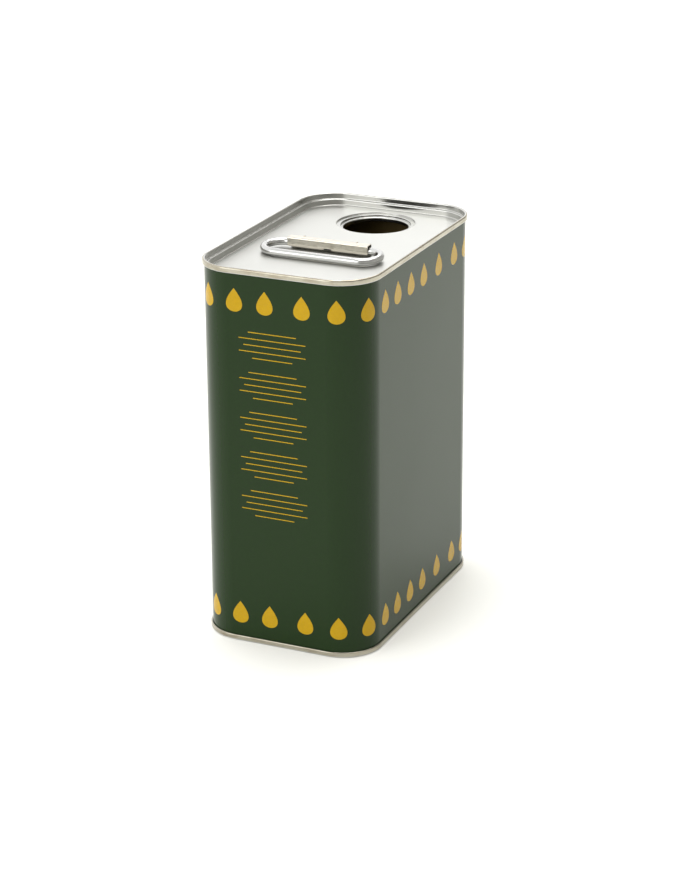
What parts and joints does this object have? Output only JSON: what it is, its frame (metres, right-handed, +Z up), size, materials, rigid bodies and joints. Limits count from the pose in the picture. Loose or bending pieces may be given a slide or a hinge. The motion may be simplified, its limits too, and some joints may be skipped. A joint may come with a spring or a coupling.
{
  "type": "oil tin",
  "caption": "Rectangular tinplate oil tin with rounded corners, double-seamed ends, an open round pouring mouth in the sunk lid and a folding wire carrying handle.",
  "frame": {"origin": "middle of the tin's plan, at the level it stands on", "axes": "+Z up the tin, +X to the right across its narrow side, +Y towards the side with the pouring mouth"},
  "size_m": [0.089, 0.1416, 0.187],
  "materials": {
    "body_print": "gloss varnish over dark green printing",
    "tinplate": "satin tinplate",
    "seam_compound": "matte",
    "strap_steel": "satin tinplate",
    "wire_steel": "bright drawn wire"
  },
  "bodies": {
    "tin": {"body_wall": "body_print", "top_end": "tinplate", "bottom_end": "tinplate", "top_seam_compound": "seam_compound", "bottom_seam_compound": "seam_compound", "handle_bracket": "strap_steel"},
    "handle": {"handle_wire": "wire_steel"}
  },
  "joints": [
    {"name": "handle_swing", "type": "hinge", "parent": "tin", "child": "handle", "pos_m": [0, -0.0106, 0.18365], "axis": [-1, 0, 0], "range_deg": [0, 184]}
  ]
}
